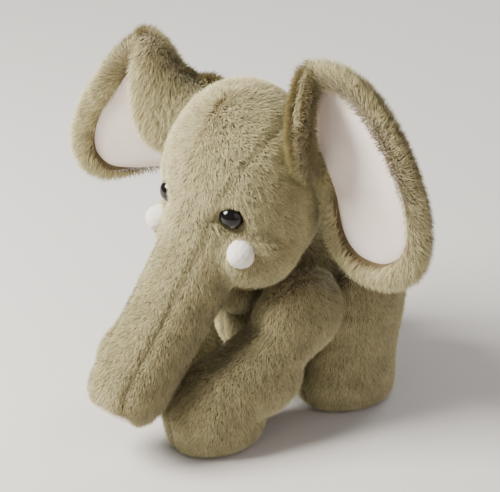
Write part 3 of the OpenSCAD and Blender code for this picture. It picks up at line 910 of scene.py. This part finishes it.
def leg_sections(foot_y, foot_l, hip_y, hip_r, bulge, round_in):
    """Sections of a left leg: height, middle x and y, half width and half length."""
    hip_z = torso_mid[2] + 4
    found = []
    for f in (0.0, 0.05, 0.12, 0.2, 0.28, 0.37, 0.46, 0.55, 0.64, 0.73, 0.82, 0.91):
        z = 1.0 + f * (hip_z - 1.0)
        u = float(ease(f, 0.3, 1))
        tucked = 1 - round_in * (1 - min(1, f / 0.16)) ** 2
        outer = (foot_out + foot_half_w * tucked) * (1 - u) + hip_out * u
        inner = (foot_out - foot_half_w * tucked) * (1 - u) + (wall_x(z) - 2) * u
        length = foot_l * tucked * (1 - u) + hip_r * u + bulge * sin(pi * u)
        found.append((z, (outer + inner) / 2, foot_y * (1 - u) + hip_y * u, (outer - inner) / 2, length))
    for b in (0, 25, 45, 62, 76, 85):
        z = hip_z + hip_r * sin(radians(b))
        outer = (wall_x(z) + 8) * (1 - cos(radians(b))) + hip_out * cos(radians(b))
        inner = wall_x(z) + 3 - 5 * cos(radians(b))
        found.append((z, (outer + inner) / 2, hip_y, (outer - inner) / 2, hip_r * cos(radians(b)) + 0.5))
    return found


def leg_at(x, y, z):
    return np.array([middle_x + x, torso_mid[1] + y, z])


def leg_solids(sections, extra):
    tube = [(leg_at(x, y, z), np.array([w, 0, 0]), np.array([0, l, 0])) for z, x, y, w, l in sections]
    return [loft(tube)] + [egg(leg_at(*c), r, np.eye(3)) for c, r in extra]


def leg_seam(p, sections):
    """Distance to the seam down the front and back of a left leg, and the leg's middle line there."""
    heights, x, y = np.array([(s[0], s[1], s[2]) for s in sections]).T
    return np.abs(
        p[:, 0] - middle_x - np.interp(p[:, 2], heights, x)
    ), torso_mid[1] + np.interp(p[:, 2], heights, y)


def sole(name, sections, node, body, right):
    _, x, y, w, l = sections[0]
    pad = cushion(
        name, leg_at(-x if right else x, y, 1.4), np.array([w * 0.99, 0, 0]), np.array([0, -l * 0.99, 0]), -UP,
        1.4, 1.3, velour
    )
    q = points_of(pad)
    q[:, 2] = np.maximum(q[:, 2], 0.05)
    move_points(pad, q)
    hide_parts(node)
    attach(pad, body)


# %% Front and hind legs
front = leg_sections(-75, 24, -31, 21, 10, 0.13)
hind = leg_sections(6.5, 24.5, 12, 21, 1, 0.03)
limbs = {
    "front_leg": (
        front,
        [
            ((30, -76, 20.5), (20.3, 25.5, 19.5)), ((32, -53, 31), (19.5, 24, 20)),
            ((37, -29, 61), (13.5, 24, 22))
        ]
    ),
    "hind_leg": (hind, [((31, 5, 16), (19.8, 25, 15.5)), ((37, 10, 52), (13.5, 21.5, 22))]),
}
for limb, (sections, extra) in limbs.items():
    left_skin = fused_skin(f"{limb}_left_skin", leg_solids(sections, extra), plush_back)
    p = points_of(left_skin)
    inner_wall = middle_x + wall_x(p[:, 2]) + 0.3
    against = (p[:, 2] > 20) & (p[:, 0] < inner_wall + 1)
    p[:, 0] = np.where(against, np.maximum(p[:, 0], inner_wall), p[:, 0])
    move_points(left_skin, p)
    aside = leg_seam(p, sections)[0]
    stuffed(left_skin, np.clip(0.12 + near(aside, 2.2) + (p[:, 2] < 2.5) + against, 0, 1), 1.6)
    finer(left_skin)
    p = points_of(left_skin)
    p[:, 2] = np.maximum(p[:, 2], 1.2)
    move_points(left_skin, p)
    pressed(left_skin, near(leg_seam(p, sections)[0], 1.5) * (p[:, 2] > 3), 1.6)
    right_skin = mirror_of(left_skin, f"{limb}_right_skin")
    for k, (side_name, skin) in enumerate((("left", left_skin), ("right", right_skin))):
        body = f"{limb}_{side_name}"
        p = points_of(skin)
        left_p = p.copy()
        if side_name == "right":
            left_p[:, 0] = 2 * middle_x - p[:, 0]
        aside, spine = leg_seam(left_p, sections)
        hidden = (
            left_p[:, 0] < middle_x + wall_x(p[:, 2]) + 1.2
        ) & (p[:, 2] > 26) & (np.abs(p[:, 1] - torso_mid[1]) < 38)
        way = np.stack(
            [0 * aside, (p[:, 1] - spine) * 0.012 - (0.3 if limb == "front_leg" else 0.0), -np.ones(len(p))], 1
        )
        combed(
            skin, way, (1 - 0.42 * near(aside, 2.0)) * (0.7 + 0.3 * ease(p[:, 2], 1, 7)),
            np.where(hidden, 0.1, 1) * (p[:, 2] > 1.6)
        )
        pile = grow(f"{body}_pile", skin, seed=51 + 2 * k + (10 if limb == "hind_leg" else 0))
        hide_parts(f"{body}_outer_panel", f"{body}_inner_panel", f"{body}_stuffing")
        for ob in (skin, pile):
            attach(ob, body)
        sole(f"{body}_sole_velour", sections, f"{body}_sole", body, side_name == "right")

# %% [markdown]
# ## The ears
# An ear is one plush piece that shows all round its smooth lining as a furry edge. It is cut flat, so it
# is drawn flat here too, and then folded along creases. The left ear's inner edge stands up to the front.
# The right ear's inner lobe is folded down over its lining, and its lower edge rolls back out of sight.

# %% The ear's pattern
outer_cut = [
    (57, 39), (66, 26), (72, 10), (73, -8), (71, -27), (64, -45), (50, -59), (30, -66), (10, -63), (-1, -53),
    (-4, -40), (-2, -27)
]
left_cut = [(0, -15), (-7, 2), (-9, 18), (-6, 34), (1, 46), (13, 51), (28, 50), (44, 47)] + outer_cut
right_cut = [
    (0, -18), (0, 2), (-5, 16), (-15, 30), (-25, 44), (-20, 56), (-9, 65), (4, 64), (16, 58), (27, 50),
    (37, 40), (45, 29), (53, 17), (63, -6), (69, -22), (72, -43), (68, -59), (55, -68), (34, -66), (14, -58),
    (2, -46), (-2, -31)
]
ear_centre = np.array([36.0, -14.0])
rim = 9.5
rings_under_lining = 6


def smooth_loop(points, steps):
    """A closed curve through points, so that a cut drawn with few points has no corners."""
    p = np.array(points, float)
    u = np.linspace(0, 1, steps, endpoint=False)[:, None]
    a, b, c, d = np.roll(p, 1, 0), p, np.roll(p, -1, 0), np.roll(p, -2, 0)
    curve = []
    for a, b, c, d in zip(a, b, c, d):
        curve.append(b + 0.5 * u * ((c - a) + u * ((2 * a - 5 * b + 4 * c - d) + u * (3 * (b - c) + d - a))))
    return np.concatenate(curve)


def rolled(x, y, z, crease, fold, roll):
    """Turns what lies beyond a crease, to the front for a positive angle and to the back for a negative one."""
    foot, head = np.array(crease, float)
    along = unit(head - foot)
    off = np.array([along[1], -along[0]])
    way, full = np.sign(fold), radians(abs(fold))
    q = (x - foot[0]) * off[0] + (y - foot[1]) * off[1]
    s = np.maximum(-q, 0)
    turn = np.minimum(s / roll, full)
    rest = s - roll * turn
    depth = roll - z * way
    shift = np.where(q < 0, -depth * np.sin(turn) - rest * np.cos(turn) - q, 0)
    return x + shift * off[0], y + shift * off[1], np.where(
        q < 0, way * (roll - depth * np.cos(turn) + rest * np.sin(turn)), z
    )


class Ear:
    """Where one ear lies: a place on the flat pattern (x out, y up, z front) becomes one in space."""

    def __init__(self, side, sweep, cut, creases):
        s = 1 if side == "left" else -1
        self.middle = place(f"ear_{side}_flap")
        self.up = unit(joints[f"ear_{side}_flap"]["axis"]) * s
        out0 = unit(s * head_x - (s * head_x @ self.up) * self.up)
        back0 = np.cross(self.up, out0) * s
        a = radians(sweep)
        self.out, self.front = cos(a) * out0 + sin(a) * back0, sin(a) * out0 - cos(a) * back0
        self.outline, self.creases = smooth_loop(cut, 7), creases

    def __call__(self, x, y, z):
        x, y, z = (np.asarray(v, float) for v in (x, y, z))
        z = z + 0.9 * np.sin(x * 0.09 + 0.6) * np.sin(y * 0.055)
        for crease in self.creases:
            x, y, z = rolled(x, y, z, *crease)
        return self.middle + np.multiply.outer(x, self.out) + np.multiply.outer(y, self.up) + np.multiply.outer(
            z, self.front
        )

    def inset(self, distance):
        """The outline moved in by a distance."""
        along = np.roll(self.outline, -1, 0) - np.roll(self.outline, 1, 0)
        inward = unit(np.stack([-along[:, 1], along[:, 0]], 1))
        if ((ear_centre - self.outline) * inward).sum() < 0:
            inward = -inward
        return self.outline + inward * distance


# %% Building both layers of an ear
def ear_layer(name, ear, rings, material):
    """A closed layer through rings of the flat pattern: an inset or a share to the centre, and a height."""
    flat = [[*ear_centre, rings[0][2]]]
    for kind, value, height in rings:
        line = ear.inset(value) if kind == "inset" else ear_centre + (ear.inset(rim) - ear_centre) * value
        flat += [[x, y, height] for x, y in line]
    flat = np.array(flat + [[*ear_centre, rings[-1][2]]])
    ob = new_piece(name, ear(*flat.T), capped(len(rings), len(ear.outline)), material)
    on_points(ob, "flat", flat, "FLOAT_VECTOR")
    return ob


back_rings = [("share", v, -3.6) for v in (0.15, 0.35, 0.55, 0.75, 0.92)]
round_edge = [
    (6, -3.5), (3, -3.1), (0.9, -2.1), (0, -0.5), (0.7, 1.1), (2.8, 2.3), (5.6, 2.6), (8.2, 2.1),
    (rim + 0.3, 1.2)
]
back_rings += [("inset", v, h) for v, h in round_edge]
back_rings += [("share", v, -0.6) for v in (0.9, 0.7, 0.5, 0.3, 0.12)]
lining_rings = [("share", v, -0.4) for v in (0.15, 0.4, 0.65, 0.9)]
lining_rings += [("inset", rim - 0.4, -0.2), ("inset", rim - 0.6, 0.5)]
lining_front = [(0.97, 1.0), (0.92, 1.25), (0.82, 1.4), (0.66, 1.45), (0.5, 1.5), (0.34, 1.5), (0.16, 1.5)]
lining_rings += [("share", v, h) for v, h in lining_front]


def read_vectors(ob, name):
    values = np.empty(len(ob.data.vertices) * 3)
    ob.data.attributes[name].data.foreach_get("vector", values)
    return values.reshape(-1, 3)


def make_ear(side, ear, seed):
    back = ear_layer(f"ear_{side}_skin", ear, back_rings, plush_back)
    lining = ear_layer(f"ear_{side}_velour", ear, lining_rings, velour)
    for ob in (back, lining):
        if not outward(ob, ear):
            ob.data.flip_normals()
    ring = np.repeat(np.arange(len(back_rings)), len(ear.outline))
    on_points(back, "shows", np.concatenate([[1], ring < len(back_rings) - rings_under_lining, [0]]))
    inner = np.repeat(np.interp(np.arange(len(back_rings)), [9, 12], [0, 1]), len(ear.outline))
    on_points(back, "inner", np.concatenate([[0], inner, [0]]))
    finer(back), finer(lining)
    shows = np.empty(len(back.data.vertices))
    back.data.attributes["shows"].data.foreach_get("value", shows)
    inner = np.empty(len(shows))
    back.data.attributes["inner"].data.foreach_get("value", inner)
    flat = read_vectors(back, "flat")
    step = np.zeros_like(flat)
    outwards = flat[:, :2] - ear_centre
    near_edge = ease(np.linalg.norm(outwards, axis=1), 10, 38)[:, None]
    step[:, :2] = unit(
        unit(outwards) * near_edge + np.array([0.35, -1.0]) * (1 - near_edge)
    ) * (1 - 0.8 * inner)[:, None]
    way = unit(ear(*(flat + step).T) - ear(*flat.T)) - 0.25 * UP
    edge = ease(np.linalg.norm(flat[:, :2] - ear_centre, axis=1), 34, 50)
    combed(back, way, 1.0 + 0.25 * edge, 1.0)
    on_points(back, "cover", shows)
    pile = grow(f"ear_{side}_pile", back, length=5.6, density=5.6, seed=seed, lean=1.0)
    root = ear_root(side, ear)
    root_pile = grow(f"ear_{side}_root_pile", root, length=4.6, seed=seed + 1)
    back, lining, root
    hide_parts(f"ear_{side}_back")
    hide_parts(f"ear_{side}_lining")
    for ob in (root, root_pile):
        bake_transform(ob)
    for ob in (back, lining, pile):
        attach(ob, f"ear_{side}")


def outward(ob, ear):
    """True if the back of a thin layer faces away from its front."""
    return ob.data.polygons[0].normal @ Vector(ear.front) < 0


def ear_root(side, ear):
    """The gathered plush where an ear meets the head."""
    sections = []
    for y, w, t in [
        (-21, 2, 2), (-18, 5, 4), (-10, 6.5, 4.8), (0, 7, 5), (10, 6.5, 4.8), (18, 5, 4), (21, 2, 2)
    ]:
        sections.append((ear.middle + ear.up * y + ear.out * 3.2 - ear.front * 0.5, ear.out * w, ear.front * t))
    root = fused_skin(f"ear_{side}_root", [loft(sections, 20)], plush_back, voxel=1.6, relax=4)
    combed(root, unit(-UP + 0.4 * ear.out), 0.9)
    return root


left_ear = Ear("left", -3, left_cut, [(((-1, -17), (27, 46)), 120, 2.3)])
right_ear = Ear(
    "right", -21, right_cut, [(((62, -62), (18, -39)), -110, 6.0), (((-2, 14), (38, 31)), 158, 7.0)]
)
make_ear("left", left_ear, 71)
make_ear("right", right_ear, 81)

# %% [markdown]
# ## The tail
# A little tube of plush hangs from the rump, with longer pile at its end.

# %% Tail
tail_root = place("tail_lift")
tail_slant = radians(22)
tail_way = np.array([0, sin(tail_slant), -cos(tail_slant)])
tail_side = np.array([1.0, 0, 0])
tail_top = np.cross(tail_way, tail_side)
tail_radii = [(-6, 3.5), (-3, 4.8), (2, 4.9), (8, 4.3), (15, 3.8), (22, 3.4), (27, 3.0), (29.4, 1.4)]
tail_sections = [(tail_root + tail_way * t, tail_side * r, tail_top * r) for t, r in tail_radii]
tail_skin = finer(fused_skin("tail_skin", [loft(tail_sections, 20)], plush_back, voxel=1.3, relax=3))
p = points_of(tail_skin)
t = (p - tail_root) @ tail_way
combed(tail_skin, tail_way, 0.85 + 0.7 * ease(t, 18, 28))
tail_pile = grow("tail_pile", tail_skin, seed=91, length=4.6, lean=1.6)
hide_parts("tail")
for ob in (tail_skin, tail_pile):
    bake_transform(ob)

# %% [markdown]
# ## Last steps
# The one hair that every pile was grown from is removed, and the number of hairs is printed.

# %% Hair count
bpy.data.objects.remove(hair)
print("hairs in all:", hairs_made)
